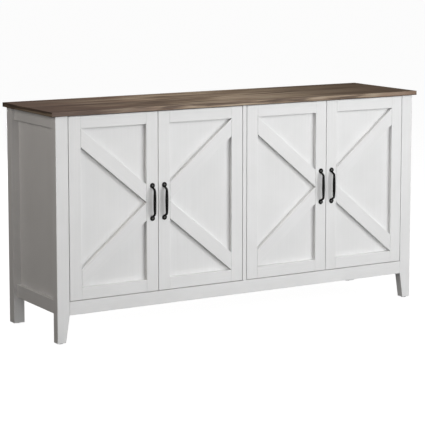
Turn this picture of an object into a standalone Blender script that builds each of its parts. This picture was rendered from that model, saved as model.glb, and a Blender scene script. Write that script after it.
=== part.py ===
"""Four-door farmhouse sideboard buffet: plank top, painted carcass on post legs, four inset doors with K braces.

Units are metres and +Z is up. The origin lies on the floor under the middle of the whole object's box.
Every piece hangs from the empty "cabinet", whose y = 0 is the plane of the post and door fronts, so
x runs along the front from the middle, y runs backwards from that plane and z runs up from the floor.
Each door hangs from its own empty, which stands on the door's hinge axis.
"""

import math

import bmesh
import bpy
from mathutils import Vector

# Overall
BODY_WIDTH = 1.443
BODY_DEPTH = 0.383
HEIGHT = 0.769
HANDLE_REACH = 0.023
GAP = 0.0003
BOARD = 0.015

# Top
TOP_THICKNESS = 0.015
TOP_SIDE_OVERHANG = 0.015
TOP_FRONT_OVERHANG = 0.007
TOP_EDGE = 0.0015

# Posts and feet
FRONT_POST_WIDTH = 0.045
FRONT_POST_DEPTH = 0.030
REAR_POST_WIDTH = 0.040
REAR_POST_DEPTH = 0.0365
FOOT_WIDTH = 0.031
GLIDE_HEIGHT = 0.003
GLIDE_RADIUS = 0.010
GLIDE_EDGE = 0.0008

# Rails, sides and floor of the carcass
RAIL_BOTTOM = 0.094
RAIL_TOP = 0.1395
SIDE_RAIL_RECESS = 0.012
SIDE_PANEL_RECESS = 0.027
SIDE_TOP_RAIL_HEIGHT = 0.043
REAR_TOP_RAIL_HEIGHT = 0.060
BACK_THICKNESS = 0.003
BACK_INSET = 0.008
EDGE = 0.0008
CREASE = math.radians(35)

# Shelves
SHELF_BOTTOM = 0.4375
SHELF_SETBACK = 0.040
SHELF_PLAY = 0.001

# Doors
DOOR_GAP = 0.002
DOOR_FRAME = 0.014
DOOR_PANEL = 0.005
STILE_WIDTH = 0.044
DOOR_RAIL_WIDTH = 0.041
BRACE_END_HEIGHT = 0.061

# Handles
HANDLE_SPACING = 0.111
PAD_RADIUS = 0.009
PAD_THICKNESS = 0.0028
ARCH_FOOT = 0.0502
ARCH_BEND = 0.0415
BEND_ROUND = 0.006
BEND_STEPS = 6
NECK_RADIUS = 0.0034
GRIP_RADIUS = 0.0053
GRIP_STEPS = 4
ARCH_SIDES = 16

# Concealed hinges
HINGE_END_DISTANCE = 0.090
CUP_RADIUS = 0.0175
CUP_EDGE_DISTANCE = 0.004
CUP_DEPTH = 0.0113
CUP_WALL = 0.0014
FLANGE_THICKNESS = 0.0014
FLANGE_WIDTH = 0.036
FLANGE_HEIGHT = 0.060
PLATE_SETBACK = 0.037
PLATE_THICKNESS = 0.002
PLATE_LENGTH = 0.032
PLATE_HEIGHT = 0.052
ARM_HEIGHT = 0.013
ARM_CLEARANCE = 0.0025
ARM_LENGTH = 0.066
ARM_RISE = 0.0145
NOSE_REACH = 0.028
NOSE_DEPTH = 0.007
ROUND_SIDES = 32

# colour (linear RGB), roughness, metallic
FINISHES = {
    "white_paint": ((0.76, 0.76, 0.75), 0.45, 0.0),
    "plank": ((0.20, 0.14, 0.10), 0.55, 0.0),
    "hardboard": ((0.74, 0.73, 0.70), 0.60, 0.0),
    "black_iron": ((0.018, 0.018, 0.019), 0.42, 0.7),
    "nickel": ((0.62, 0.61, 0.59), 0.30, 1.0),
    "glide_plastic": ((0.05, 0.05, 0.05), 0.55, 0.0),
}

UNDERSIDE = HEIGHT - TOP_THICKNESS
HALF_WIDTH = BODY_WIDTH / 2
SIDE_FACE = HALF_WIDTH - FRONT_POST_WIDTH
REAR_POST_FRONT = BODY_DEPTH - REAR_POST_DEPTH
REAR_POST_INNER = HALF_WIDTH - REAR_POST_WIDTH
BACK_FRONT = BODY_DEPTH - BACK_INSET - BACK_THICKNESS
DOOR_THICKNESS = DOOR_FRAME + GAP + DOOR_PANEL
DOOR_BOTTOM = RAIL_TOP + DOOR_GAP
DOOR_TOP = UNDERSIDE - DOOR_GAP
BAY_WIDTH = SIDE_FACE - BOARD / 2
DOOR_WIDTH = (BAY_WIDTH - 3 * DOOR_GAP) / 2


def clear_scene():
    for old in list(bpy.data.objects):
        bpy.data.objects.remove(old, do_unlink=True)


def add_material(name, finish):
    colour, roughness, metallic = FINISHES[finish]
    material = bpy.data.materials.new(name)
    material.use_nodes = True
    shader = material.node_tree.nodes["Principled BSDF"]
    shader.inputs["Base Color"].default_value = (*colour, 1.0)
    shader.inputs["Roughness"].default_value = roughness
    shader.inputs["Metallic"].default_value = metallic
    return material


def add_empty(name, location, parent=None):
    empty = bpy.data.objects.new(name, None)
    bpy.context.scene.collection.objects.link(empty)
    empty.location = location
    empty.parent = parent
    return empty


def add_object(name, bm, finish, parent, location):
    """Makes an object from bm, with its faces turned outwards and a material of its own."""
    bmesh.ops.recalc_face_normals(bm, faces=bm.faces)
    mesh = bpy.data.meshes.new(name)
    bm.to_mesh(mesh)
    bm.free()
    obj = bpy.data.objects.new(name, mesh)
    bpy.context.scene.collection.objects.link(obj)
    obj.location = location
    obj.parent = parent
    if finish:
        mesh.materials.append(add_material(name + "_finish", finish))
    return obj


def soften(obj, width):
    """Takes the sharpness off an object's edges."""
    bevel = obj.modifiers.new("edge", "BEVEL")
    bevel.width = width
    bevel.segments = 1
    bevel.limit_method = "ANGLE"


def shade_round(obj):
    obj.data.shade_smooth()
    obj.data.set_sharp_from_angle(angle=CREASE)


def combine(obj, helper, operation):
    """Joins a helper to obj or cuts it away. The helper itself stays out of the model."""
    helper.hide_render = True
    helper.display_type = "WIRE"
    boolean = obj.modifiers.new(helper.name, "BOOLEAN")
    boolean.operation = operation
    boolean.solver = "EXACT"
    boolean.object = helper


def box_mesh(low, high):
    """A box, built around its own middle, and the place of that middle."""
    bm = bmesh.new()
    bmesh.ops.create_cube(bm, size=1.0)
    size = [b - a for a, b in zip(low, high)]
    bmesh.ops.scale(bm, vec=size, verts=bm.verts)
    middle = tuple((a + b) / 2 for a, b in zip(low, high))
    return bm, middle


def add_board(name, low, high, finish, parent, edge=EDGE):
    bm, middle = box_mesh(low, high)
    board = add_object(name, bm, finish, parent, middle)
    if edge:
        soften(board, edge)
    return board


def prism_mesh(outline, place, depth):
    """A closed prism. place(a, b, d) gives the point for outline corner (a, b) at depth d."""
    bm = bmesh.new()
    near = [bm.verts.new(place(a, b, 0.0)) for a, b in outline]
    far = [bm.verts.new(place(a, b, depth)) for a, b in outline]
    bm.faces.new(near)
    bm.faces.new(reversed(far))
    for i in range(len(outline)):
        j = (i + 1) % len(outline)
        bm.faces.new((near[i], far[i], far[j], near[j]))
    return bm


def disc_mesh(radius, y_near, y_far, x=0.0, z=0.0, sides=ROUND_SIDES):
    """A round plug along y."""
    turns = [2 * math.pi * i / sides for i in range(sides)]
    outline = [(x + radius * math.cos(t), z + radius * math.sin(t)) for t in turns]
    return prism_mesh(outline, lambda a, b, d: (a, y_near + d, b), y_far - y_near)


def add_top(cabinet):
    half = HALF_WIDTH + TOP_SIDE_OVERHANG
    low = (-half, -TOP_FRONT_OVERHANG, UNDERSIDE)
    high = (half, BODY_DEPTH, HEIGHT)
    add_board("top_board", low, high, "plank", cabinet, TOP_EDGE)


def add_front_post(side, sign, cabinet):
    """A post whose foot narrows on its inner side, below the rail."""
    outline = [
        (0.0, GLIDE_HEIGHT),
        (FOOT_WIDTH, GLIDE_HEIGHT),
        (FRONT_POST_WIDTH, RAIL_BOTTOM),
        (FRONT_POST_WIDTH, UNDERSIDE - GAP),
        (0.0, UNDERSIDE - GAP),
    ]
    bm = prism_mesh(outline, lambda a, b, d: (-sign * a, d, b), FRONT_POST_DEPTH)
    post = add_object("front_post_" + side, bm, "white_paint", cabinet, (sign * HALF_WIDTH, 0, 0))
    soften(post, EDGE)


def add_rear_post(side, sign, cabinet):
    inner = sign * REAR_POST_INNER
    outer = sign * HALF_WIDTH
    low = (min(inner, outer), REAR_POST_FRONT, GLIDE_HEIGHT)
    high = (max(inner, outer), BODY_DEPTH, UNDERSIDE - GAP)
    add_board("rear_post_" + side, low, high, "white_paint", cabinet)


def add_glide(name, x, y, cabinet):
    """A round nail-on glide under a foot."""
    bm = bmesh.new()
    bmesh.ops.create_cone(
        bm,
        cap_ends=True,
        segments=ROUND_SIDES,
        radius1=GLIDE_RADIUS - GLIDE_EDGE,
        radius2=GLIDE_RADIUS,
        depth=GLIDE_HEIGHT - GAP,
    )
    glide = add_object(name, bm, "glide_plastic", cabinet, (x, y, (GLIDE_HEIGHT - GAP) / 2))
    shade_round(glide)


def add_side(side, sign, cabinet):
    """One end of the carcass: a full panel with a top and a bottom rail planted on its outer face."""
    near = FRONT_POST_DEPTH + GAP
    far = REAR_POST_FRONT - GAP

    def layer(name, outer, inner, bottom, top):
        ends = sorted((sign * (HALF_WIDTH - outer), sign * (HALF_WIDTH - inner)))
        add_board(name + side, (ends[0], near, bottom), (ends[1], far, top), "white_paint", cabinet)

    rail_back = SIDE_PANEL_RECESS
    panel_face = SIDE_PANEL_RECESS + GAP
    top_rail_bottom = UNDERSIDE - SIDE_TOP_RAIL_HEIGHT
    layer("side_panel_", panel_face, FRONT_POST_WIDTH, RAIL_BOTTOM, UNDERSIDE - GAP)
    layer("side_rail_bottom_", SIDE_RAIL_RECESS, rail_back, RAIL_BOTTOM, RAIL_TOP)
    layer("side_rail_top_", SIDE_RAIL_RECESS, rail_back, top_rail_bottom, UNDERSIDE - GAP)


def add_ends(cabinet):
    for side, sign in (("left", -1), ("right", 1)):
        add_front_post(side, sign, cabinet)
        add_rear_post(side, sign, cabinet)
        add_side(side, sign, cabinet)
        front_x = sign * (HALF_WIDTH - FOOT_WIDTH / 2)
        rear_x = sign * (HALF_WIDTH - REAR_POST_WIDTH / 2)
        add_glide("front_glide_" + side, front_x, FRONT_POST_DEPTH / 2, cabinet)
        add_glide("rear_glide_" + side, rear_x, BODY_DEPTH - REAR_POST_DEPTH / 2, cabinet)


def add_carcass(cabinet):
    """The rails, floor, back and shelves between the two ends."""
    inner = SIDE_FACE - GAP
    back = BACK_FRONT - GAP
    rear = REAR_POST_INNER - GAP
    rear_rail_front = back - BOARD
    floor_bottom = RAIL_TOP - BOARD
    top = UNDERSIDE - GAP

    def span(name, half, y0, y1, z0, z1, finish="white_paint", edge=EDGE):
        add_board(name, (-half, y0, z0), (half, y1, z1), finish, cabinet, edge)

    span("front_rail", inner, 0, BOARD, RAIL_BOTTOM, RAIL_TOP)
    span("bottom_panel", inner, BOARD + GAP, back, floor_bottom, RAIL_TOP)
    span("rear_rail_bottom", rear, rear_rail_front, back, RAIL_BOTTOM, floor_bottom - GAP)
    span("rear_rail_top", rear, rear_rail_front, back, top - REAR_TOP_RAIL_HEIGHT, top)
    back_panel_back = BACK_FRONT + BACK_THICKNESS
    span("back_panel", rear, BACK_FRONT, back_panel_back, RAIL_BOTTOM, top, "hardboard", 0)

    for side, sign in (("left", -1), ("right", 1)):
        ends = sorted((sign * (BOARD / 2 + SHELF_PLAY), sign * (SIDE_FACE - SHELF_PLAY)))
        low = (ends[0], SHELF_SETBACK, SHELF_BOTTOM)
        high = (ends[1], back - SHELF_PLAY, SHELF_BOTTOM + BOARD)
        add_board("shelf_" + side, low, high, "white_paint", cabinet)


def add_divider(cabinet):
    """The upright between the middle doors, notched at its top rear corner for the rear rail."""
    back = BACK_FRONT - GAP
    bottom = RAIL_TOP + GAP
    top = UNDERSIDE - GAP
    notch_y = back - BOARD - GAP
    notch_z = top - REAR_TOP_RAIL_HEIGHT - GAP
    outline = [(0, bottom), (back, bottom), (back, notch_z), (notch_y, notch_z), (notch_y, top), (0, top)]
    bm = prism_mesh(outline, lambda a, b, d: (d, a, b), BOARD)
    divider = add_object("divider", bm, "white_paint", cabinet, (-BOARD / 2, 0, 0))
    soften(divider, EDGE)


def cup_centres():
    """(distance from the hinge edge, height) of a door's two cups, and each one's word."""
    reach = CUP_EDGE_DISTANCE + CUP_RADIUS
    return (
        ("lower", reach, DOOR_BOTTOM + HINGE_END_DISTANCE),
        ("upper", reach, DOOR_TOP - HINGE_END_DISTANCE),
    )


def cut_cup_bores(door, name, toward, y_floor, parent):
    """Bores a door piece from the back for its two hinge cups."""
    for word, reach, z in cup_centres():
        bm = disc_mesh(CUP_RADIUS, y_floor, DOOR_THICKNESS + BOARD, toward * reach, z)
        cutter = add_object(name + "_bore_" + word, bm, None, parent, (0, 0, 0))
        combine(door, cutter, "DIFFERENCE")


def add_door_frame(name, toward, pivot):
    """Two stiles and two rails, glued up as one frame."""
    outer = [(0, DOOR_BOTTOM), (DOOR_WIDTH, DOOR_BOTTOM), (DOOR_WIDTH, DOOR_TOP), (0, DOOR_TOP)]
    x0, x1 = STILE_WIDTH, DOOR_WIDTH - STILE_WIDTH
    z0, z1 = DOOR_BOTTOM + DOOR_RAIL_WIDTH, DOOR_TOP - DOOR_RAIL_WIDTH
    inner = [(x0, z0), (x1, z0), (x1, z1), (x0, z1)]
    bm = bmesh.new()
    rings = []
    for outline, y in ((outer, 0), (inner, 0), (inner, DOOR_FRAME), (outer, DOOR_FRAME)):
        rings.append([bm.verts.new((toward * a, y, b)) for a, b in outline])
    for ring, following in zip(rings, rings[1:] + rings[:1]):
        for i in range(4):
            j = (i + 1) % 4
            bm.faces.new((ring[i], ring[j], following[j], following[i]))
    frame = add_object(name + "_frame", bm, "white_paint", pivot, (0, 0, 0))
    soften(frame, EDGE)
    cup_floor = DOOR_THICKNESS - CUP_DEPTH
    cut_cup_bores(frame, name + "_frame", toward, cup_floor, pivot)


def add_door_panel(name, toward, pivot):
    """The thin panel that backs the whole door."""
    ends = sorted((0, toward * DOOR_WIDTH))
    low = (ends[0], DOOR_FRAME + GAP, DOOR_BOTTOM)
    high = (ends[1], DOOR_THICKNESS, DOOR_TOP)
    bm, middle = box_mesh(low, high)
    bmesh.ops.translate(bm, vec=middle, verts=bm.verts)
    panel = add_object(name + "_panel", bm, "white_paint", pivot, (0, 0, 0))
    cut_cup_bores(panel, name + "_panel", toward, 0, pivot)


def add_door_braces(name, toward, pivot):
    """Two slanting braces that meet at the handle stile, halfway up."""
    x0, x1 = STILE_WIDTH + GAP, DOOR_WIDTH - STILE_WIDTH - GAP
    middle = (DOOR_BOTTOM + DOOR_TOP) / 2
    corner = (DOOR_TOP - DOOR_BOTTOM) / 2 - DOOR_RAIL_WIDTH - GAP
    near = GAP / 2
    outline = [
        (x0, corner),
        (x0, corner - BRACE_END_HEIGHT),
        (x1, near),
        (x1, near + BRACE_END_HEIGHT),
    ]
    for word, up in (("upper", 1), ("lower", -1)):
        bm = prism_mesh(outline, lambda a, b, d, up=up: (toward * a, d, up * b), DOOR_FRAME)
        brace = add_object(f"{name}_brace_{word}", bm, "white_paint", pivot, (0, 0, middle))
        soften(brace, EDGE)


def arch_path():
    """The grip's centre line from top to bottom, as (height, distance out): two slanting necks and a straight bar."""
    foot = Vector((ARCH_FOOT, PAD_THICKNESS / 2))
    bend = Vector((ARCH_BEND, HANDLE_REACH - GRIP_RADIUS))
    before = bend + (foot - bend).normalized() * BEND_ROUND
    after = bend - Vector((BEND_ROUND, 0))
    half = [foot]
    for i in range(BEND_STEPS + 1):
        t = i / BEND_STEPS
        half.append(before * (1 - t) ** 2 + bend * (2 * t * (1 - t)) + after * t**2)
    middle = Vector((0, bend.y))
    half += [after.lerp(middle, i / GRIP_STEPS) for i in range(1, GRIP_STEPS)]
    return half + [middle] + [Vector((-point.x, point.y)) for point in reversed(half)]


def arch_mesh():
    """The handle's grip: a round bar along the arch, swelling towards its middle, with flat ends inside the pads."""
    bm = bmesh.new()
    path = arch_path()
    rings = []
    for i, centre in enumerate(path):
        if i == 0:
            run = Vector((0, 1))
        elif i == len(path) - 1:
            run = Vector((0, -1))
        else:
            run = (path[i + 1] - path[i - 1]).normalized()
        across = Vector((run.y, -run.x))
        radius = GRIP_RADIUS - (GRIP_RADIUS - NECK_RADIUS) * (centre.x / ARCH_FOOT) ** 2
        ring = []
        for k in range(ARCH_SIDES):
            around = 2 * math.pi * k / ARCH_SIDES
            point = centre + across * (radius * math.cos(around))
            ring.append(bm.verts.new((radius * math.sin(around), -point.y, point.x)))
        rings.append(ring)
    for ring, following in zip(rings, rings[1:]):
        for k in range(ARCH_SIDES):
            j = (k + 1) % ARCH_SIDES
            bm.faces.new((ring[k], ring[j], following[j], following[k]))
    bm.faces.new(rings[0])
    bm.faces.new(reversed(rings[-1]))
    return bm


def add_handle(name, toward, pivot):
    """An arched pull on two round pads, in the middle of the handle stile."""
    place = (toward * (DOOR_WIDTH - STILE_WIDTH / 2), 0, (DOOR_BOTTOM + DOOR_TOP) / 2)
    handle = add_object(name + "_handle", arch_mesh(), "black_iron", pivot, place)
    for word, up in (("top", 1), ("bottom", -1)):
        bm = disc_mesh(PAD_RADIUS, -PAD_THICKNESS, -GAP, 0, up * HANDLE_SPACING / 2)
        pad = add_object(f"{name}_handle_pad_{word}", bm, None, pivot, place)
        combine(handle, pad, "UNION")
    shade_round(handle)


def add_hinge_cup(name, word, toward, reach, z, pivot):
    """A hinge cup, let into the door's back, with its fixing flange."""
    seat = DOOR_THICKNESS + GAP
    place = (toward * reach, 0, z)
    low = (-FLANGE_WIDTH / 2, seat, -FLANGE_HEIGHT / 2)
    high = (FLANGE_WIDTH / 2, seat + FLANGE_THICKNESS, FLANGE_HEIGHT / 2)
    bm, middle = box_mesh(low, high)
    bmesh.ops.translate(bm, vec=middle, verts=bm.verts)
    cup = add_object(f"{name}_hinge_cup_{word}", bm, "nickel", pivot, place)
    outer = CUP_RADIUS - GAP
    half_flange = seat + FLANGE_THICKNESS / 2
    bm = disc_mesh(outer, seat - CUP_DEPTH, half_flange)
    barrel = add_object(f"{name}_cup_barrel_{word}", bm, None, pivot, place)
    combine(cup, barrel, "UNION")
    bm = disc_mesh(outer - CUP_WALL, seat - CUP_DEPTH + CUP_WALL, seat + BOARD)
    hollow = add_object(f"{name}_cup_hollow_{word}", bm, None, pivot, place)
    combine(cup, hollow, "DIFFERENCE")


def add_hinge_arm(number, word, toward, face, z, cabinet):
    """A hinge arm on its mounting plate, screwed to the side or to the divider behind the door's edge."""
    front = DOOR_THICKNESS + GAP + FLANGE_THICKNESS + ARM_CLEARANCE
    screw_line = DOOR_THICKNESS + PLATE_SETBACK
    lap = PLATE_THICKNESS / 2
    outline = [
        (lap, front),
        (NOSE_REACH, front),
        (NOSE_REACH, front + NOSE_DEPTH),
        (ARM_RISE, front + 2 * NOSE_DEPTH),
        (ARM_RISE - PLATE_THICKNESS, front + ARM_LENGTH),
        (lap, front + ARM_LENGTH),
    ]
    place = (face, 0, z)
    bm = prism_mesh(outline, lambda a, b, d: (toward * a, b, d - ARM_HEIGHT / 2), ARM_HEIGHT)
    arm = add_object(f"hinge_arm_{number}_{word}", bm, "nickel", cabinet, place)
    ends = sorted((toward * GAP, toward * (GAP + PLATE_THICKNESS)))
    low = (ends[0], screw_line - PLATE_LENGTH / 2, -PLATE_HEIGHT / 2)
    high = (ends[1], screw_line + PLATE_LENGTH / 2, PLATE_HEIGHT / 2)
    bm, middle = box_mesh(low, high)
    bmesh.ops.translate(bm, vec=middle, verts=bm.verts)
    plate = add_object(f"hinge_plate_{number}_{word}", bm, None, cabinet, place)
    combine(arm, plate, "UNION")


def add_door(number, face, toward, cabinet):
    """One door. face is the x of the upright that it hangs on, and toward is the way it reaches from there."""
    name = f"door_{number}"
    pivot = add_empty(name + "_pivot", (face + toward * DOOR_GAP, 0, 0), cabinet)
    add_door_frame(name, toward, pivot)
    add_door_panel(name, toward, pivot)
    add_door_braces(name, toward, pivot)
    add_handle(name, toward, pivot)
    for word, reach, z in cup_centres():
        add_hinge_cup(name, word, toward, reach, z, pivot)
        add_hinge_arm(number, word, toward, face, z, cabinet)


def main():
    clear_scene()
    front_plane = HANDLE_REACH - (HANDLE_REACH + BODY_DEPTH) / 2
    cabinet = add_empty("cabinet", (0, front_plane, 0))
    add_top(cabinet)
    add_ends(cabinet)
    add_carcass(cabinet)
    add_divider(cabinet)
    add_door(1, -SIDE_FACE, 1, cabinet)
    add_door(2, -BOARD / 2, -1, cabinet)
    add_door(3, BOARD / 2, 1, cabinet)
    add_door(4, SIDE_FACE, -1, cabinet)


main()
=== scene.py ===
import math

import bmesh
import bpy
from mathutils import Matrix, Vector


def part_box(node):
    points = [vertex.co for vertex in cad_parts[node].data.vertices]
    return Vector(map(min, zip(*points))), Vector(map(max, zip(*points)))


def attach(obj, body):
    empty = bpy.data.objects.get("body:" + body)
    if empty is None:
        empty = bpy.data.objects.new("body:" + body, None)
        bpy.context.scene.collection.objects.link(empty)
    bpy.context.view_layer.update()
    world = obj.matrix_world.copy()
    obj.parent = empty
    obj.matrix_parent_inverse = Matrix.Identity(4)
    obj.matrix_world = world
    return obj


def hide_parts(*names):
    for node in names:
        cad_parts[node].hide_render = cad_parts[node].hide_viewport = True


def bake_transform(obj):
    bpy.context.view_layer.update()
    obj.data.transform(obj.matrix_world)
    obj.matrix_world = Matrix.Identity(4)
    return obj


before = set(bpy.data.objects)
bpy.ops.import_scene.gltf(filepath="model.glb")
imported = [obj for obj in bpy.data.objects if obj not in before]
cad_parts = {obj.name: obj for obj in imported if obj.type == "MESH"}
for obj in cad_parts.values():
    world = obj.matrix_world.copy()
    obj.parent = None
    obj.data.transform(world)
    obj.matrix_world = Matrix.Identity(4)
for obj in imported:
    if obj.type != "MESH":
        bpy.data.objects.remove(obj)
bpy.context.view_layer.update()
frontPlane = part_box("front_post_left")[0].y  # the plane of the post and door fronts
sides = (("Left", -1), ("Right", 1))
alongX = Vector((1, 0, 0))
alongY = Vector((0, 1, 0))
alongZ = Vector((0, 0, 1))


class Wire:
    # one output of a node, so that maths on it reads as an expression
    def __init__(self, finish, socket):
        self.finish = finish
        self.socket = socket

    def maths(self, operation, left, right):
        return self.finish.add("Math", {"operation": operation}, {0: left, 1: right})

    def __add__(self, other):
        return self.maths("ADD", self, other)

    def __radd__(self, other):
        return self.maths("ADD", other, self)

    def __sub__(self, other):
        return self.maths("SUBTRACT", self, other)

    def __mul__(self, other):
        return self.maths("MULTIPLY", self, other)


class Finish:
    # one material and the nodes behind its shader
    def __init__(self, name):
        self.material = bpy.data.materials.new(name)
        self.material.use_nodes = True
        self.tree = self.material.node_tree
        self.shader = self.tree.nodes["Principled BSDF"]

    def feed(self, socket, value):
        if isinstance(value, Wire):
            self.tree.links.new(value.socket, socket)
        else:
            socket.default_value = value

    def add(self, kind, settings=None, inputs=None, output=0):
        node = self.tree.nodes.new("ShaderNode" + kind)
        for key, value in (settings or {}).items():
            if key == "stops":
                self.setStops(node.color_ramp, value)
            else:
                setattr(node, key, value)
        for key, value in (inputs or {}).items():
            self.feed(node.inputs[key], value)
        return Wire(self, node.outputs[output])

    def setStops(self, ramp, stops):
        while len(ramp.elements) < len(stops):
            ramp.elements.new(0.5)
        for element, (place, colour) in zip(ramp.elements, stops):
            element.position = place
            element.color = (*colour, 1.0)

    def place(self, spread=0.0):
        # the piece's own coordinates in metres, x along its grain; spread shifts them from piece to piece
        here = self.add("TexCoord", output="Object")
        if not spread:
            return here
        step = self.add("ObjectInfo", output="Random") * spread
        return self.add("VectorMath", {"operation": "ADD"}, {0: here, 1: step})

    def axis(self, place, name):
        return self.add("SeparateXYZ", None, {0: place}, name)

    def noise(self, place, stretch, detail=2.0, distortion=0.0, roughness=0.5):
        scaled = self.add("VectorMath", {"operation": "MULTIPLY"}, {0: place, 1: stretch})
        inputs = {"Scale": 1.0, "Detail": detail, "Distortion": distortion, "Roughness": roughness}
        return self.add("TexNoise", None, {"Vector": scaled, **inputs})

    def between(self, value, low, high, start=0.0, end=1.0):
        # value between low and high, stretched smoothly to start and end
        inputs = {"Value": value, "From Min": low, "From Max": high, "To Min": start, "To Max": end}
        return self.add("MapRange", {"interpolation_type": "SMOOTHSTEP"}, inputs)

    def mix(self, factor, first, second):
        # inputs 6 and 7 and output 2 of the node are its colour ones
        first, second = [c if isinstance(c, Wire) else (*c, 1.0) for c in (first, second)]
        return self.add("Mix", {"data_type": "RGBA"}, {0: factor, 6: first, 7: second}, 2)

    def ramp(self, value, stops):
        return self.add("ValToRGB", {"stops": stops}, {0: value})

    def bump(self, height, strength, distance, under=None):
        inputs = {"Height": height, "Strength": strength, "Distance": distance}
        if under:
            inputs["Normal"] = under
        return self.add("Bump", None, inputs)

    def finish(self, **values):
        for key, value in values.items():
            name = key.replace("_", " ").title()
            if isinstance(value, tuple):
                value = (*value, 1.0)
            self.feed(self.shader.inputs[name], value)
        return self.material


paintLook = {
    "light": (0.800, 0.800, 0.800),
    "shade": (0.768, 0.768, 0.766),
    "roughness": 0.44,
    "mottle": 7.0,  # cloudiness, per metre
    "pores": (60.0, 900.0, 900.0),
    "brush": (2.5, 170.0, 170.0),
}


def makePaint(name, look):
    # sprayed satin paint over board, with the faint lie of the board under it
    paint = Finish(name)
    place = paint.place(3.7)
    cloud = paint.noise(place, (look["mottle"],) * 3, detail=3.0)
    brush = paint.noise(place, look["brush"], detail=3.0)
    pores = paint.noise(place, look["pores"])
    tone = paint.between(cloud * 0.65 + brush * 0.35, low=0.36, high=0.64)
    ripple = paint.bump(brush, strength=0.10, distance=0.0004)
    return paint.finish(
        base_color=paint.mix(tone, look["shade"], look["light"]),
        roughness=look["roughness"] - 0.06 + cloud * 0.12,
        normal=paint.bump(pores, strength=0.06, distance=0.0002, under=ripple),
    )


plankLook = {
    "stops": [
        (0.00, (0.090, 0.056, 0.034)),
        (0.28, (0.165, 0.110, 0.070)),
        (0.50, (0.260, 0.185, 0.122)),
        (0.72, (0.345, 0.258, 0.178)),
        (1.00, (0.440, 0.350, 0.252)),
    ],
    "grey": (0.275, 0.232, 0.190),
    # left and right are the colours that painted shade darkens the two ends to
    "left": (0.095, 0.052, 0.035),
    "right": (0.070, 0.042, 0.022),
    # the dark brown of the cracks, also used for the painted shade
    "crackAndShadeBrown": (0.050, 0.034, 0.025),
    "red": (0.190, 0.095, 0.062),
    "redness": (2.4, 18.0, 18.0),
    "split": (1.9, 44.0, 44.0),
    "broad": (1.1, 11.0, 11.0),
    "streak": (2.6, 30.0, 30.0),
    "grain": (5.5, 95.0, 95.0),
    "fibre": (11.0, 420.0, 420.0),
    "greying": (1.5, 20.0, 20.0),
    "middle": -0.16,  # where the painted falloff of light leaves the boards lightest along x
    "leftShadeFade": (-0.62, 0.05),  # painted shade from full to none, measured from there
    "leftEndShade": 0.90,  # how far painted shade darkens each end
    "rightShadeFade": (0.04, 0.80),
    "rightEndShade": 0.82,
    "lowEdgeShadow": (-0.0072, -0.0048),  # the heights, from the board's middle, over which a painted shadow darkens its lower arris
}
# the front edging keeps little painted shade at its right end
edgingLook = {**plankLook, "rightEndShade": 0.15}


def makePlank(name, look, shade):
    # wire-brushed rustic boards in brown and grey streaks, with painted shade darkening them towards both
    # ends, along the lower arris and over the whole end edgings
    plank = Finish(name)
    place = plank.place()
    broad = plank.noise(place, look["broad"], distortion=0.2)
    streak = plank.noise(place, look["streak"], detail=4.0, distortion=0.25, roughness=0.55)
    grain = plank.noise(place, look["grain"], detail=3.0, distortion=0.2)
    fibre = plank.noise(place, look["fibre"], detail=3.0, distortion=0.2)
    figure = broad * 0.16 + streak * 0.40 + grain * 0.32 + fibre * 0.12
    wood = plank.ramp(plank.between(figure, low=0.425, high=0.575), look["stops"])
    weather = plank.noise(place, look["greying"], detail=3.0, distortion=0.3)
    wood = plank.mix(plank.between(weather, low=0.50, high=0.68, end=0.45), wood, look["grey"])
    heart = plank.noise(place, look["redness"], distortion=0.5)
    wood = plank.mix(plank.between(heart, low=0.54, high=0.66, end=0.45), wood, look["red"])
    # painted shade: the boards darken towards both ends, following the falloff of light
    along = plank.axis(place, "X") - look["middle"]
    leftPaintedShade = plank.between(along, *look["leftShadeFade"], start=look["leftEndShade"], end=0.0)
    wood = plank.mix(leftPaintedShade, wood, look["left"])
    rightPaintedShade = plank.between(along, *look["rightShadeFade"], end=look["rightEndShade"])
    wood = plank.mix(rightPaintedShade, wood, look["right"])
    # painted shadow: a dark line along the lower arris, where the edge meets the shade under it
    lowArrisPaintedShadow = plank.between(plank.axis(place, "Z"), *look["lowEdgeShadow"], start=0.65, end=0.0)
    wood = plank.mix(lowArrisPaintedShadow, wood, look["crackAndShadeBrown"])
    split = plank.noise(place, look["split"], detail=3.0, distortion=0.2, roughness=0.6)
    cracks = plank.between(split * 0.8 + fibre * 0.2, low=0.37, high=0.45, start=1.0, end=0.0)
    wood = plank.mix(cracks * 0.55, wood, look["crackAndShadeBrown"])
    # painted shade: the whole piece darkened by the given amount, most on the end edgings that face away
    # from the lamps
    wood = plank.mix(shade, wood, look["crackAndShadeBrown"])
    relief = fibre * 0.5 + grain * 0.5 - cracks * 0.4
    return plank.finish(
        base_color=wood,
        roughness=0.50 + streak * 0.18,
        normal=plank.bump(relief, strength=0.35, distance=0.0006),
    )


hardboardLook = {"light": (0.330, 0.215, 0.125), "dark": (0.215, 0.132, 0.072), "weave": 480.0}


def makeHardboard(look):
    # the raw back of the sheet, with the screen pattern that its press leaves
    raw = Finish("rawHardboard")
    place = raw.place()
    cloud = raw.noise(place, (9.0, 9.0, 9.0), detail=4.0)
    fleck = raw.noise(place, (160.0, 160.0, 160.0), detail=3.0)
    across = raw.add("Math", {"operation": "SINE"}, {0: raw.axis(place, "X") * look["weave"]})
    down = raw.add("Math", {"operation": "SINE"}, {0: raw.axis(place, "Z") * look["weave"]})
    tone = raw.between(cloud * 0.5 + fleck * 0.5, low=0.36, high=0.64)
    return raw.finish(
        base_color=raw.mix(tone, look["dark"], look["light"]),
        roughness=0.78,
        normal=raw.bump(across * down * 0.5 + fleck * 0.4, strength=0.3, distance=0.0004),
    )


ironLook = {
    "base": (0.005, 0.005, 0.005),
    "worn": (0.012, 0.011, 0.011),
    "roughness": 0.50,
    "sheen": 0.15,
}
screwIronLook = {
    "base": (0.085, 0.083, 0.080),
    "worn": (0.150, 0.147, 0.142),
    "roughness": 0.42,
    "sheen": 0.35,
}


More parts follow.
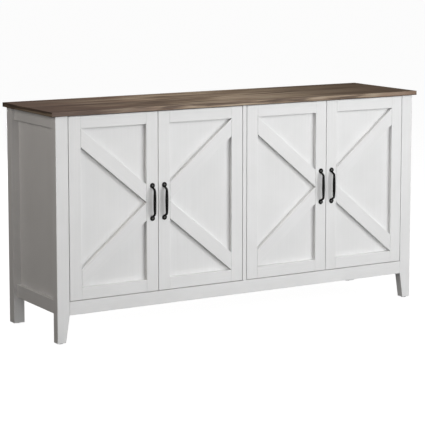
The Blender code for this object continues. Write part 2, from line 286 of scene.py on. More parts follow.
def makeIron(name, look):
    # black powder coat over cast metal
    iron = Finish(name)
    place = iron.place(1.3)
    cast = iron.noise(place, (190.0, 190.0, 190.0), detail=3.0)
    speck = iron.noise(place, (1500.0, 1500.0, 1500.0))
    worn = iron.between(cast, low=0.52, high=0.72)
    iron.shader.inputs["Specular IOR Level"].default_value = look["sheen"]
    return iron.finish(
        base_color=iron.mix(worn, look["base"], look["worn"]),
        roughness=look["roughness"] + cast * 0.15,
        normal=iron.bump(cast * 0.6 + speck * 0.25, strength=0.35, distance=0.0005),
    )


def makeMetal(name, bright, dull, roughness):
    # plated steel with fine rolling marks
    metal = Finish(name)
    place = metal.place(2.1)
    rolled = metal.noise(place, (40.0, 900.0, 900.0), detail=3.0)
    stain = metal.noise(place, (120.0, 120.0, 120.0), detail=3.0)
    return metal.finish(
        metallic=1.0,
        base_color=metal.mix(metal.between(stain, low=0.4, high=0.66), bright, dull),
        roughness=roughness + stain * 0.14,
        normal=metal.bump(rolled, strength=0.12, distance=0.0002),
    )


def makePlastic(name, base, high, roughness):
    # moulded plastic with a fine spark-eroded grain
    plastic = Finish(name)
    place = plastic.place(1.9)
    grain = plastic.noise(place, (900.0, 900.0, 900.0), detail=3.0)
    cloud = plastic.noise(place, (60.0, 60.0, 60.0))
    return plastic.finish(
        base_color=plastic.mix(cloud, base, high),
        roughness=roughness + cloud * 0.1,
        normal=plastic.bump(grain, strength=0.15, distance=0.0002),
    )


finishes = {
    "paint": makePaint("satinWhitePaint", paintLook),
    # shade is an amount of painted shade over the whole piece, largest for the end edgings, which face
    # away from the lamps
    "plank": makePlank("rusticPlank", plankLook, shade=0.0),
    "plankEdge": makePlank("rusticPlankEdge", edgingLook, shade=0.06),
    "plankEnd": makePlank("rusticPlankEnd", edgingLook, shade=0.45),
    "hardboard": makeHardboard(hardboardLook),
    "iron": makeIron("blackIron", ironLook),
    "screw": makeIron("screwIron", screwIronLook),
    "nickel": makeMetal("nickelPlate", (0.66, 0.65, 0.62), (0.50, 0.49, 0.47), 0.24),
    "zinc": makeMetal("zincPlate", (0.56, 0.56, 0.58), (0.40, 0.40, 0.42), 0.34),
    "glide": makePlastic("glidePlastic", (0.030, 0.030, 0.031), (0.050, 0.050, 0.051), 0.5),
    "trim": makePlastic("whitePlastic", (0.700, 0.695, 0.680), (0.760, 0.755, 0.740), 0.38),
}
print("finishes made:", len(finishes))


def prism(outline, axis, near, far):
    # a closed solid: an outline in the plane across one axis, drawn out from near to far
    bm = bmesh.new()
    rings = []
    for d in (near, far):
        corners = [((d, a, b), (a, d, b), (a, b, d))[axis] for a, b in outline]
        rings.append([bm.verts.new(corner) for corner in corners])
    bm.faces.new(rings[0])
    bm.faces.new(reversed(rings[1]))
    for i in range(len(outline)):
        j = (i + 1) % len(outline)
        bm.faces.new((rings[0][i], rings[1][i], rings[1][j], rings[0][j]))
    bmesh.ops.recalc_face_normals(bm, faces=bm.faces)
    return bm


def block(low, high):
    corners = [(low[0], low[1]), (high[0], low[1]), (high[0], high[1]), (low[0], high[1])]
    return prism(corners, 2, low[2], high[2])


def stretch(low, high, axis, first, second):
    # the block from low to high, kept only between two places along one axis
    near = Vector(low)
    far = Vector(high)
    near[axis], far[axis] = sorted((first, second))
    return block(near, far)


def roundEdges(bm, radius, segments=3, edges=None):
    chosen = edges or bm.edges[:]
    bmesh.ops.bevel(bm, geom=chosen, offset=radius, segments=segments, profile=0.5, affect="EDGES")
    return bm


def roundCorners(bm, axis, radius):
    # rounds only the edges that run along one axis
    def runsAlong(edge):
        line = edge.verts[1].co - edge.verts[0].co
        return abs(line[axis]) > 0.99 * line.length

    return roundEdges(bm, radius, 6, [edge for edge in bm.edges if runsAlong(edge)])


def joinRings(bm, first, second):
    # faces between two rings, either of which may be a single point
    count = max(len(first), len(second))
    for i in range(count):
        j = (i + 1) % count
        near = [first[k % len(first)] for k in (i, j)]
        far = [second[k % len(second)] for k in (j, i)]
        bm.faces.new(list(dict.fromkeys(near + far)))


def placing(start, direction, place):
    # turns the way of start round to direction and moves the origin to place
    turn = start.rotation_difference(Vector(direction)).to_matrix().to_4x4()
    return Matrix.Translation(place) @ turn


def turned(profile, base, direction, turns=32):
    # a solid of revolution; its profile is (radius, distance along) from end to end
    bm = bmesh.new()
    rings = []
    for radius, along in profile:
        count = turns if radius else 1
        angles = [2 * math.pi * i / turns for i in range(count)]
        points = [(radius * math.cos(a), radius * math.sin(a), along) for a in angles]
        rings.append([bm.verts.new(point) for point in points])
    for first, second in zip(rings, rings[1:]):
        joinRings(bm, first, second)
    bmesh.ops.recalc_face_normals(bm, faces=bm.faces)
    bm.transform(placing(alongZ, direction, base))
    return bm


def asMesh(bm):
    mesh = bpy.data.meshes.new("part")
    bm.to_mesh(mesh)
    bm.free()
    return mesh


def merged(parts):
    whole = bmesh.new()
    for part in parts:
        mesh = asMesh(part)
        whole.from_mesh(mesh)
        bpy.data.meshes.remove(mesh)
    return whole


def carved(bm, cutter):
    # takes the cutter's solids out of bm
    pair = []
    for part in (bm, cutter):
        part.normal_update()
        pair.append(bpy.data.objects.new("part", asMesh(part)))
        bpy.context.scene.collection.objects.link(pair[-1])
    solid, tool = pair
    cut = solid.modifiers.new("cut", "BOOLEAN")
    cut.operation = "DIFFERENCE"
    cut.solver = "EXACT"
    cut.object = tool
    graph = bpy.context.evaluated_depsgraph_get()
    result = bpy.data.meshes.new_from_object(solid.evaluated_get(graph))
    made = bmesh.new()
    made.from_mesh(result)
    bpy.data.meshes.remove(result)
    for obj in pair:
        bpy.data.meshes.remove(obj.data)
    return made


def addPiece(name, bm, finish, body, nodes=(), grain=alongX, crease=40):
    # grain is the way the board's length runs; the piece's own x axis follows it
    corners = [vert.co for vert in bm.verts]
    low = Vector([min(co[i] for co in corners) for i in range(3)])
    high = Vector([max(co[i] for co in corners) for i in range(3)])
    matrix = placing(alongX, grain, (low + high) / 2)
    bm.transform(matrix.inverted())
    mesh = asMesh(bm)
    mesh.name = name
    mesh.shade_smooth()
    mesh.set_sharp_from_angle(angle=math.radians(crease))
    mesh.materials.clear()
    mesh.materials.append(finishes[finish])
    piece = bpy.data.objects.new(name, mesh)
    bpy.context.scene.collection.objects.link(piece)
    piece.matrix_world = matrix
    normals = piece.modifiers.new("normals", "WEIGHTED_NORMAL")
    normals.keep_sharp = True
    if body:
        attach(piece, body)
    if nodes:
        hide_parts(*nodes)
    return piece


def addBoard(name, low, high, body, nodes, grain, radius):
    addPiece(name, roundEdges(block(low, high), radius), "paint", body, nodes, grain)


screwLook = {
    "rim": 0.35,  # of the head's height
    "dome": (0.0, 0.5, 1.0, 1.35),
    "arm": 0.62,
    "slot": 0.30,
    "slotDepth": 0.55,
    "turns": 24,
}


def screwHead(centre, direction, radius, height):
    # a low domed head with a cross recess, its flat back at the centre point
    rim = screwLook["rim"]
    dome = [(radius * math.cos(a), height * (rim + (1 - rim) * math.sin(a))) for a in screwLook["dome"]]
    profile = [(0, 0), (radius, 0), *dome, (0, height)]
    head = turned(profile, (0, 0, 0), alongZ, screwLook["turns"])
    arm = radius * screwLook["arm"]
    half = radius * screwLook["slot"] / 2
    floor = height * (1 - screwLook["slotDepth"])
    for x, y in ((arm, half), (half, arm)):
        head = carved(head, block((-x, -y, floor), (x, y, height * 2)))
    head.transform(placing(alongZ, direction, centre))
    return head


topLook = {
    "edging": 0.0010,
    "edgingRadius": 0.00042,
    "seam": 0.0002,
    "panelRadius": 0.0004,
}


def buildTop(look):
    low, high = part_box("top_board")
    strip = look["edging"]
    radius = look["edgingRadius"]
    inset = strip + look["seam"]
    core = block((low.x + inset, low.y + inset, low.z), (high.x - inset, high.y, high.z))
    addPiece("topPanel", roundEdges(core, look["panelRadius"], 2), "plank", "cabinet", ["top_board"])
    front = roundEdges(stretch(low, high, 1, low.y, low.y + strip), radius)
    addPiece("topFrontEdging", front, "plankEdge", "cabinet", ["top_board"])
    behindFront = (low.x, low.y + inset, low.z)
    for side, sign in sides:
        outer = low.x if sign < 0 else high.x
        end = roundEdges(stretch(behindFront, high, 0, outer, outer - sign * strip), radius)
        addPiece("topEndEdging" + side, end, "plankEnd", "cabinet", ["top_board"], alongY)


postLook = {"footWidth": 0.031, "radius": 0.0013}


def buildPosts(look):
    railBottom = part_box("front_rail")[0].z
    for side, sign in sides:
        node = "front_post_" + side.lower()
        low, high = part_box(node)
        outer, inner = (low.x, high.x) if sign < 0 else (high.x, low.x)
        foot = outer - sign * look["footWidth"]
        outline = [(outer, low.z), (foot, low.z), (inner, railBottom), (inner, high.z), (outer, high.z)]
        post = roundEdges(prism(outline, 1, low.y, high.y), look["radius"])
        addPiece("frontPost" + side, post, "paint", "cabinet", [node], alongZ)
        node = "rear_post_" + side.lower()
        low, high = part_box(node)
        addBoard("rearPost" + side, low, high, "cabinet", [node], alongZ, look["radius"])


glideLook = {"dimple": 0.0006}


def buildGlides(look):
    # plastic feet, each with a dimple in its underside
    for row in ("front", "rear"):
        for side, _ in sides:
            node = f"{row}_glide_{side.lower()}"
            low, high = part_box(node)
            middle = (low + high) / 2
            radius = (high.x - low.x) / 2
            tall = high.z - low.z
            dimple = look["dimple"]
            profile = [(0, dimple), (radius * 0.25, dimple), (radius * 0.3, 0), (radius * 0.8, 0)]
            profile += [(radius * 0.94, tall * 0.2), (radius, tall * 0.55), (radius, tall), (0, tall)]
            foot = turned(profile, (middle.x, middle.y, low.z), alongZ)
            addPiece(row + "Glide" + side, foot, "glide", "cabinet", [node])


boardLook = {"radius": 0.0009, "notchGap": 0.0003}
pinLook = {
    "hole": 0.0025,
    "depth": 0.009,
    "overcut": 0.001,
    "pitch": 0.032,
    "levels": 2,  # holes above and below the shelf's own
    "fromEdge": 0.045,
    "pin": 0.0024,
    "peg": 0.0070,
    "stub": 0.0065,
    "tip": 0.0005,
    "collar": 0.0010,
}


def pinRows(look):
    # the depths of the two rows and the heights of the holes
    low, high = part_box("shelf_left")
    rows = (low.y + look["fromEdge"], high.y - look["fromEdge"])
    middle = low.z - look["hole"]
    levels = range(-look["levels"], look["levels"] + 1)
    return rows, [middle + level * look["pitch"] for level in levels]


def pinHoles(face, into, look):
    # cutters for the shelf pin holes that open on the plane x = face and run the way of into
    rows, heights = pinRows(look)
    radius = look["hole"]
    start = -look["overcut"]
    depth = look["depth"]
    profile = [(0, start), (radius, start), (radius, depth), (0, depth)]
    places = [(face, y, z) for y in rows for z in heights]
    return merged([turned(profile, place, (into, 0, 0), 20) for place in places])


def buildSides(look):
    for side, sign in sides:
        word = side.lower()
        low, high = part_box("side_panel_" + word)
        panel = roundEdges(block(low, high), look["radius"])
        inner = high.x if sign < 0 else low.x
        panel = carved(panel, pinHoles(inner, sign, pinLook))
        addPiece("sidePanel" + side, panel, "paint", "cabinet", ["side_panel_" + word], alongZ)
        for level in ("bottom", "top"):
            node = f"side_rail_{level}_{word}"
            name = "sideRail" + level.title() + side
            addBoard(name, *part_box(node), "cabinet", [node], alongY, look["radius"])


def buildDivider(look):
    # the upright between the bays, notched round the rear top rail
    low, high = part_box("divider")
    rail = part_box("rear_rail_top")[0]
    notchY = rail.y - look["notchGap"]
    notchZ = rail.z - look["notchGap"]
    outline = [(low.y, low.z), (high.y, low.z), (high.y, notchZ)]
    outline += [(notchY, notchZ), (notchY, high.z), (low.y, high.z)]
    upright = roundEdges(prism(outline, 0, low.x, high.x), look["radius"])
    upright = carved(upright, merged([pinHoles(low.x, 1, pinLook), pinHoles(high.x, -1, pinLook)]))
    addPiece("dividerUpright", upright, "paint", "cabinet", ["divider"], alongZ)


def buildCarcass(look):
    for name, node in (
        ("frontRail", "front_rail"),
        ("floorPanel", "bottom_panel"),
        ("rearRailBottom", "rear_rail_bottom"),
        ("rearRailTop", "rear_rail_top"),
    ):
        addBoard(name, *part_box(node), "cabinet", [node], alongX, look["radius"])
    buildSides(look)
    buildDivider(look)


def pinPart(face, into, y, z, look):
    # one steel pin: a peg in its hole, a collar against the face and a stub under the shelf
    radius = look["pin"]
    point = radius * 0.8
    flange = radius * 1.5
    peg, stub, tip, collar = [look[key] for key in ("peg", "stub", "tip", "collar")]
    profile = [(0, -peg), (point, -peg), (radius, tip - peg), (radius, 0), (flange, 0)]
    profile += [(flange, collar), (radius, collar), (radius, stub - tip), (point, stub), (0, stub)]
    return turned(profile, (face, y, z), (into, 0, 0), 16)


def buildShelves(look):
    rows, heights = pinRows(pinLook)
    level = heights[pinLook["levels"]]
    for side, sign in sides:
        node = "shelf_" + side.lower()
        addBoard("shelf" + side, *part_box(node), "cabinet", [node], alongX, look["radius"])
        inward = 1 if sign < 0 else 0  # which corner of a box is the nearer one to the middle
        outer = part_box("side_panel_" + side.lower())[inward].x
        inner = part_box("divider")[1 - inward].x
        pins = []
        for face, into in ((outer, -sign), (inner, sign)):
            pins += [pinPart(face, into, y, level, pinLook) for y in rows]
        addPiece("shelfPins" + side, merged(pins), "nickel", "cabinet")


backLook = {
    "joint": 0.0016,
    "sheetRadius": 0.0003,
    "strip": 0.016,
    "stripSeat": 0.0002,
    "stripThickness": 0.0012,
    "stripRadius": 0.0005,
    "margin": 0.007,
    "nailSpacing": 0.11,
    "nailSeat": 0.0001,
    "nailRadius": 0.0022,
    "nailHeight": 0.0007,
}


def buildBack(look):
    # two hardboard sheets, the strip over their joint and the nails that hold them
    low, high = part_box("back_panel")
    for side, sign in sides:
        outer = low.x if sign < 0 else high.x
        sheet = stretch(low, high, 0, outer, sign * look["joint"] / 2)
        sheet = roundEdges(sheet, look["sheetRadius"], 1)
        piece = addPiece("backSheet" + side, sheet, "hardboard", "cabinet", ["back_panel"])
        piece.data.materials.append(finishes["paint"])
        for face in piece.data.polygons:
            if face.normal.y < -0.5:  # the face inside the cabinet is painted
                face.material_index = 1
    half = look["strip"] / 2
    seat = high.y + look["stripSeat"]
    strip = block((-half, seat, low.z), (half, seat + look["stripThickness"], high.z))
    addPiece("backJointStrip", roundEdges(strip, look["stripRadius"]), "trim", "cabinet", (), alongZ)
    buildNails(low, high, look)


def buildNails(low, high, look):
    # three rows of nail heads, left out where the joint strip lies
    margin = look["margin"]
    count = round((high.x - low.x) / look["nailSpacing"])
    across = [low.x + margin + (high.x - low.x - 2 * margin) * i / count for i in range(count + 1)]
    heights = (low.z + margin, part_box("rear_rail_top")[0].z + margin, high.z - margin)
    radius = look["nailRadius"]
    proud = look["nailHeight"]
    profile = [(0, 0), (radius, 0), (radius, proud * 0.4), (radius * 0.7, proud), (0, proud)]
    seat = high.y + look["nailSeat"]
    places = [(x, seat, z) for z in heights for x in across if abs(x) > look["strip"]]
    heads = [turned(profile, place, alongY, 12) for place in places]
    addPiece("backNails", merged(heads), "zinc", "cabinet")


doorLook = {
    "stile": 0.044,
    "rail": 0.041,
    "braceEnd": 0.061,
    "gap": 0.0003,
    "radius": 0.0010,
    "panelRadius": 0.0006,
    "boreRadius": 0.0175,
    "overcut": 0.01,
}


def cupCentre(number, word):
    low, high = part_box(f"door_{number}_hinge_cup_{word}")
    return (low + high) / 2


def cupBores(number, near, far, look):
    # cutters for a door's two hinge cups, between two depths
    radius = look["boreRadius"]
    profile = [(0, 0), (radius, 0), (radius, far - near), (0, far - near)]
    parts = []
    for word in ("lower", "upper"):
        centre = cupCentre(number, word)
        parts.append(turned(profile, (centre.x, near, centre.z), alongY, 40))
    return merged(parts)


def buildDoorFrame(number, toward, look):
    body = f"door_{number}"
    node = body + "_frame"
    low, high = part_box(node)
    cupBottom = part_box(body + "_hinge_cup_lower")[0].y - look["gap"]
    hingeX = low.x if toward > 0 else high.x
    openX = high.x if toward > 0 else low.x
    for word, outer, into in (("Hinge", hingeX, toward), ("Handle", openX, -toward)):
        stile = stretch(low, high, 0, outer, outer + into * look["stile"])
        stile = roundEdges(stile, look["radius"])
        if word == "Hinge":
            stile = carved(stile, cupBores(number, cupBottom, high.y + look["overcut"], look))
        addPiece(f"door{number}{word}Stile", stile, "paint", body, [node], alongZ)
    left = low.x + look["stile"]
    right = high.x - look["stile"]
    for word, bottom, top in (
        ("Top", high.z - look["rail"], high.z),
        ("Bottom", low.z, low.z + look["rail"]),
    ):
        rail = roundEdges(block((left, low.y, bottom), (right, high.y, top)), look["radius"])
        addPiece(f"door{number}{word}Rail", rail, "paint", body, [node], alongX)


def buildDoorPanel(number, look):
    body = f"door_{number}"
    node = body + "_panel"
    low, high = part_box(node)
    panel = roundEdges(block(low, high), look["panelRadius"])
    overcut = look["overcut"]
    panel = carved(panel, cupBores(number, low.y - overcut, high.y + overcut, look))
    addPiece(f"door{number}Panel", panel, "paint", body, [node], alongZ)


def buildBraces(number, toward, look):
    body = f"door_{number}"
    for word, up in (("upper", 1), ("lower", -1)):
        node = f"{body}_brace_{word}"
        low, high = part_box(node)
        hingeEnd, openEnd = (low.x, high.x) if toward > 0 else (high.x, low.x)
        corner, meeting = (high.z, low.z) if up > 0 else (low.z, high.z)
        end = up * look["braceEnd"]
        outline = [(hingeEnd, corner), (hingeEnd, corner - end)]
        outline += [(openEnd, meeting), (openEnd, meeting + end)]
        brace = roundEdges(prism(outline, 1, low.y, high.y), look["radius"])
        grain = Vector((openEnd - hingeEnd, 0, meeting - (corner - end))).normalized()
        addPiece(f"door{number}Brace{word.title()}", brace, "paint", body, [node], grain)


handleLook = {
    "spacing": 0.111,
    "padRadius": 0.0090,
    "padThickness": 0.0028,
    "padSeat": 0.0003,
    "dish": 0.80,  # the thickness of a pad's middle, as a part of its rim's
    "foot": 0.0502,  # half height at which the grip's centre line meets the pads
    "bend": 0.0415,
    "bendRound": 0.006,
    "bendSteps": 14,
    "barSteps": 16,
    "neck": 0.0034,
    "grip": 0.0053,
    "around": 24,
    "screwRadius": 0.0034,
    "screwHeight": 0.0013,
}


def archPath(look, reach):
    # the grip's centre line from top to bottom, as (height, distance out)
    foot = Vector((look["foot"], look["padThickness"] / 2))
    bend = Vector((look["bend"], reach - look["grip"]))
    before = bend + (foot - bend).normalized() * look["bendRound"]
    after = bend - Vector((look["bendRound"], 0))
    half = [foot]
    for i in range(look["bendSteps"] + 1):
        t = i / look["bendSteps"]
        half.append(before * (1 - t) ** 2 + bend * (2 * t * (1 - t)) + after * t ** 2)
    middle = Vector((0, bend.y))
    half += [after.lerp(middle, i / look["barSteps"]) for i in range(1, look["barSteps"])]
    return half + [middle] + [Vector((-point.x, point.y)) for point in reversed(half)]


def archPart(look, reach):
    # the grip: a round bar on slanting necks, swelling towards its middle
    bm = bmesh.new()
    path = archPath(look, reach)
    runs = [(after - before).normalized() for before, after in zip(path, path[2:])]
    runs = [Vector((0, 1)), *runs, Vector((0, -1))]
    rings = []
    for centre, run in zip(path, runs):
        across = Vector((run.y, -run.x))
        radius = look["grip"] - (look["grip"] - look["neck"]) * (centre.x / look["foot"]) ** 2
        ring = []
        for k in range(look["around"]):
            angle = 2 * math.pi * k / look["around"]
            point = centre + across * (radius * math.cos(angle))
            ring.append(bm.verts.new((radius * math.sin(angle), -point.y, point.x)))
        rings.append(ring)
    for first, second in zip(rings, rings[1:]):
        joinRings(bm, first, second)
    bm.faces.new(rings[0])
    bm.faces.new(rings[-1])
    bmesh.ops.recalc_face_normals(bm, faces=bm.faces)
    return bm


def padPart(look, z):
    # a round foot with a raised rim and a dished face
    r = look["padRadius"]
    t = look["padThickness"]
    seat = look["padSeat"]
    dish = t * look["dish"]
    profile = [(0, seat), (r, seat), (r, t * 0.55), (r * 0.96, t * 0.85), (r * 0.86, t), (r * 0.74, t)]
    profile += [(r * 0.62, t * 0.86), (r * 0.42, dish), (0, dish)]
    return turned(profile, (0, 0, z), -alongY)


def buildHandle(number, look):
    node = f"door_{number}_handle"
    low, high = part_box(node)
    middle = (low + high) / 2
    reach = frontPlane - low.y
    ends = [end * look["spacing"] / 2 for end in (-1, 1)]
    handle = merged([archPart(look, reach), *[padPart(look, z) for z in ends]])
    handle.transform(Matrix.Translation((middle.x, frontPlane, middle.z)))
    addPiece(f"door{number}Pull", handle, "iron", f"door_{number}", [node], alongZ, 50)
    face = frontPlane - look["padThickness"] * look["dish"]
    screw = (look["screwRadius"], look["screwHeight"])
    heads = [screwHead((middle.x, face, middle.z + z), -alongY, *screw) for z in ends]
    addPiece(f"door{number}PullScrews", merged(heads), "screw", f"door_{number}", [node])


hingeLook = {
    "clearance": 0.0003,
    "wall": 0.0012,
    "bowlBend": 0.002,
    "wing": 0.0150,
    "wingCorner": 0.0060,
    "wingEdge": 0.0002,
    "wingScrew": (0.0036, 0.0016),  # radius and height, as for the other screws
    "wingScrewAt": 0.0240,
    "screwSeat": 0.0001,
    "armHeight": 0.0130,
    "rise": 0.0145,  # how far the arm's back stands off the cabinet's side
    "fall": 0.002,
    "nose": 0.0070,
    "base": 0.0018,
    "sheet": 0.0014,
    "fold": 0.0004,
    "edge": 0.0003,
    "plate": (0.032, 0.052, 0.0023),
    "plateBehindDoor": 0.037,
    "plateBody": 0.022,
    "plateCorner": 0.004,
    "ear": 0.016,
    "earCorner": 0.0065,
    "fixingScrew": (0.0038, 0.0018),
    "fixingFromEdge": 0.0075,
    "adjustingScrew": (0.0036, 0.0014),
    "adjustingAt": (0.022, 0.048),
    "adjustingSeat": 0.0002,
    "strapWidth": 0.0050,
    "strapSheet": 0.0018,
    "strapApart": 0.0064,
    "strapInCup": 0.0030,
    "strapInArm": 0.0045,
    "stiffInCup": 0.002,  # the length at each end of a strap that doesn't bend
    "stiffInArm": 0.001,
    "strapSteps": 28,
}


def buildCup(number, word, look):
    # a pressed cup with its rim, two wings and their screws
    node = f"door_{number}_hinge_cup_{word}"
    low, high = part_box(node)
    middle = (low + high) / 2
    rim = (high.x - low.x) / 2
    bowl = doorLook["boreRadius"] - look["clearance"]
    flange = high.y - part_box(f"door_{number}_panel")[1].y - look["clearance"]
    depth = high.y - low.y
    wall = look["wall"]
    bend = look["bowlBend"]
    hollow = bowl - wall
    profile = [(0, 0), (bowl - bend, 0), (bowl, bend), (bowl, depth - flange), (rim, depth - flange)]
    profile += [(rim, depth), (hollow, depth), (hollow, wall + bend), (hollow - bend, wall), (0, wall)]
    parts = [turned(profile, (middle.x, low.y, middle.z), alongY, 48)]
    half = look["wing"] / 2
    wingLow = (middle.x - half, high.y - flange, low.z)
    wingHigh = (middle.x + half, high.y, high.z)
    for end, outer in ((-1, low.z), (1, high.z)):
        wing = stretch(wingLow, wingHigh, 2, middle.z + end * hollow, outer)
        wing = roundEdges(roundCorners(wing, 1, look["wingCorner"]), look["wingEdge"], 1)
        place = (middle.x, high.y - look["screwSeat"], middle.z + end * look["wingScrewAt"])
        parts += [wing, screwHead(place, alongY, *look["wingScrew"])]
    # the CAD box ends at the flange, and the screw heads stand proud of it inside the cabinet
    addPiece(f"door{number}HingeCup{word.title()}", merged(parts), "nickel", f"door_{number}", [node])


def armSheets(low, high, toward, look):
    # the folded sheet of the arm: its back and its two walls
    face = low.x if toward > 0 else high.x
    reach = high.x - low.x
    front = low.y
    shoulder = front + 2 * look["nose"]
    sheet = look["sheet"]
    base = look["base"]

    def placed(points):
        return [(face + toward * u, v) for u, v in points]

    top = [(reach, front), (reach, front + look["nose"]), (look["rise"], shoulder)]
    top += [(look["rise"] - look["fall"], high.y)]
    under = [(u - sheet, v) for u, v in reversed(top)]
    wall = [(reach - sheet, front), *top[1:], (base, high.y), (base, shoulder), (reach * 0.55, front)]
    middle = (low.z + high.z) / 2
    half = look["armHeight"] / 2
    back = prism(placed(top + under), 2, middle - half, middle + half)
    parts = [roundEdges(back, look["fold"], 2)]
    for end in (-1, 1):
        near, far = sorted((middle + end * half, middle + end * (half - sheet)))
        parts.append(roundEdges(prism(placed(wall), 2, near, far), look["edge"], 1))
    return parts


def plateParts(number, face, toward, middle, look):
    # the winged mounting plate and the two screws that fix it
    length, height, thick = look["plate"]
    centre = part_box(f"door_{number}_panel")[1].y + look["plateBehindDoor"]
    near, far = sorted((face + toward * look["screwSeat"], face + toward * thick))

    def leaf(deep, tall, radius):
        low = (near, centre - deep / 2, middle - tall / 2)
        high = (far, centre + deep / 2, middle + tall / 2)
        return roundEdges(roundCorners(block(low, high), 0, radius), look["edge"], 1)

    parts = [leaf(length, look["plateBody"], look["plateCorner"])]
    parts.append(leaf(look["ear"], height, look["earCorner"]))
    for end in (-1, 1):
        offset = end * (height / 2 - look["fixingFromEdge"])
        place = (far if toward > 0 else near, centre, middle + offset)
        parts.append(screwHead(place, (toward, 0, 0), *look["fixingScrew"]))
    return parts


def buildArm(number, word, toward, look):
    # a channel-shaped arm on a winged plate, with its adjusting and fixing screws
    node = f"hinge_arm_{number}_{word}"
    low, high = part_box(node)
    middle = (low.z + high.z) / 2
    face = low.x if toward > 0 else high.x
    parts = armSheets(low, high, toward, look)
    parts += plateParts(number, face, toward, middle, look)
    shoulder = 2 * look["nose"]
    slope = look["fall"] / (high.y - low.y - shoulder)
    for along in look["adjustingAt"]:
        surface = look["rise"] - slope * (along - shoulder) - look["adjustingSeat"]
        place = (face + toward * surface, low.y + along, middle)
        parts.append(screwHead(place, (toward, 0, 0), *look["adjustingScrew"]))
    addPiece(f"hingeArm{number}{word.title()}", merged(parts), "nickel", "cabinet", [node])


def strapPart(x, z, near, far, look):
    # one straight flat strap from near to far, built in rings along its length
    half = look["strapWidth"] / 2
    sheet = look["strapSheet"] / 2
    corners = ((-half, -sheet), (half, -sheet), (half, sheet), (-half, sheet))
    strap = bmesh.new()
    rings = []
    for i in range(look["strapSteps"] + 1):
        y = near + (far - near) * i / look["strapSteps"]
        rings.append([strap.verts.new((x + a, y, z + b)) for a, b in corners])
    for first, second in zip(rings, rings[1:]):
        joinRings(strap, first, second)
    strap.faces.new(rings[0])
    strap.faces.new(rings[-1])
    bmesh.ops.recalc_face_normals(strap, faces=strap.faces)
    return strap


def buildLink(number, word, look):
    # the two straps that carry the door from the arm's nose into the cup
    middle = cupCentre(number, word)
    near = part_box(f"door_{number}_hinge_cup_{word}")[0].y + look["strapInCup"]
    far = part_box(f"hinge_arm_{number}_{word}")[0].y + look["strapInArm"]
    offset = look["strapApart"] / 2
    straps = [strapPart(middle.x, middle.z + z, near, far, look) for z in (-offset, offset)]
    piece = addPiece(f"hingeLink{number}{word.title()}", merged(straps), "nickel", None)
    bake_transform(piece)


def buildDoors():
    for number, toward in ((1, 1), (2, -1), (3, 1), (4, -1)):
        buildDoorFrame(number, toward, doorLook)
        buildDoorPanel(number, doorLook)
        buildBraces(number, toward, doorLook)
        buildHandle(number, handleLook)
        for word in ("lower", "upper"):
            buildCup(number, word, hingeLook)
            buildArm(number, word, toward, hingeLook)
            buildLink(number, word, hingeLook)


buildTop(topLook)
buildPosts(postLook)
buildGlides(glideLook)
print("top, posts and glides built")
buildCarcass(boardLook)
buildShelves(boardLook)
buildBack(backLook)
print("carcass, shelves and back built")
buildDoors()


cameraLook = {
    "place": (-3.0616, -5.0877, 1.3467),
    "turn": -30.852,
    "tilt": -7.330,
    "lens": 142.95,
    "shift": -0.15,
}


def makeCamera(look):
    data = bpy.data.cameras.new("camera")
    data.lens = look["lens"]
    data.shift_y = look["shift"]
    camera = bpy.data.objects.new("camera", data)
    bpy.context.scene.collection.objects.link(camera)
    camera.location = look["place"]
    camera.rotation_euler = (math.radians(90 + look["tilt"]), 0, math.radians(look["turn"]))
    bpy.context.scene.camera = camera


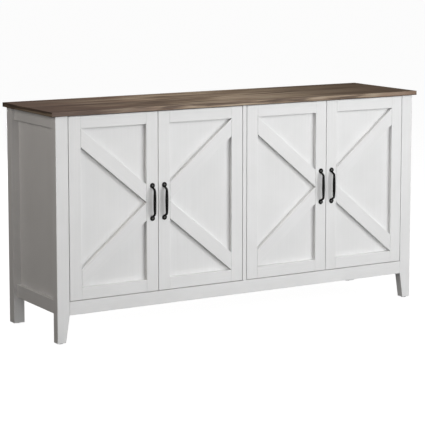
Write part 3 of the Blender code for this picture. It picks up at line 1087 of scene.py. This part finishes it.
lightLook = {
    "key": {"place": (0.60, -2.4, 1.0), "size": 3.6, "power": 66.0, "colour": (0.990, 0.996, 1.0)},
    "side": {"place": (3.6, -4.8, 2.2), "size": 2.0, "power": 48.0, "colour": (0.990, 0.996, 1.0)},
    "fill": {"place": (-2.4, -0.55, 1.4), "size": 1.0, "power": 10.3, "colour": (1.0, 0.94, 0.88)},
    "top": {"place": (0.0, 0.1, 3.2), "size": 2.5, "power": 43.0, "colour": (1.0, 0.98, 0.95)},
    "rear": {"place": (0.0, 4.5, 0.3), "size": 0.8, "power": 130.0, "colour": (1.0, 0.98, 0.96)},
}
aim = Vector((0, 0, 0.42))


def makeLights(look):
    for name, light in look.items():
        data = bpy.data.lights.new(name, "AREA")
        data.shape = "DISK"
        data.size = light["size"]
        data.energy = light["power"]
        data.color = light["colour"]
        lamp = bpy.data.objects.new(name, data)
        bpy.context.scene.collection.objects.link(lamp)
        lamp.location = light["place"]
        lamp.rotation_euler = (aim - lamp.location).to_track_quat("-Z", "Y").to_euler()


stageLook = {
    "floorSize": 120.0,
    "drop": 0.0005,  # keeps the floor clear of the feet's undersides
    "floor": (0.13, 0.13, 0.13),
    "glow": 0.955,
    "air": (0.082, 0.079, 0.076),
    "sky": (1, 1, 1),
}


def makeStage(look):
    floorMesh = bmesh.new()
    bmesh.ops.create_grid(floorMesh, x_segments=4, y_segments=4, size=look["floorSize"] / 2)
    floor = bpy.data.objects.new("floor", asMesh(floorMesh))
    bpy.context.scene.collection.objects.link(floor)
    pale = Finish("paleFloor")
    pale.shader.inputs["Emission Strength"].default_value = look["glow"]
    pale.finish(base_color=look["floor"], roughness=0.9, emission_color=(1, 1, 1))
    floor.data.materials.append(pale.material)
    floor.visible_diffuse = False  # the floor's own glow neither lights the furniture nor shines in it
    floor.visible_glossy = False
    floor.location.z = -look["drop"]
    world = bpy.data.worlds.new("studio")
    world.use_nodes = True
    bpy.context.scene.world = world
    tree = world.node_tree
    background = tree.nodes["Background"]
    background.inputs["Color"].default_value = (*look["air"], 1)
    seen = tree.nodes.new("ShaderNodeBackground")
    seen.inputs["Color"].default_value = (*look["sky"], 1)
    path = tree.nodes.new("ShaderNodeLightPath")
    choice = tree.nodes.new("ShaderNodeMixShader")
    tree.links.new(path.outputs["Is Camera Ray"], choice.inputs[0])
    tree.links.new(background.outputs[0], choice.inputs[1])
    tree.links.new(seen.outputs[0], choice.inputs[2])
    tree.links.new(choice.outputs[0], tree.nodes["World Output"].inputs[0])
    bpy.context.scene.view_settings.view_transform = "Standard"


makeCamera(cameraLook)
makeLights(lightLook)
makeStage(stageLook)
print("studio set")
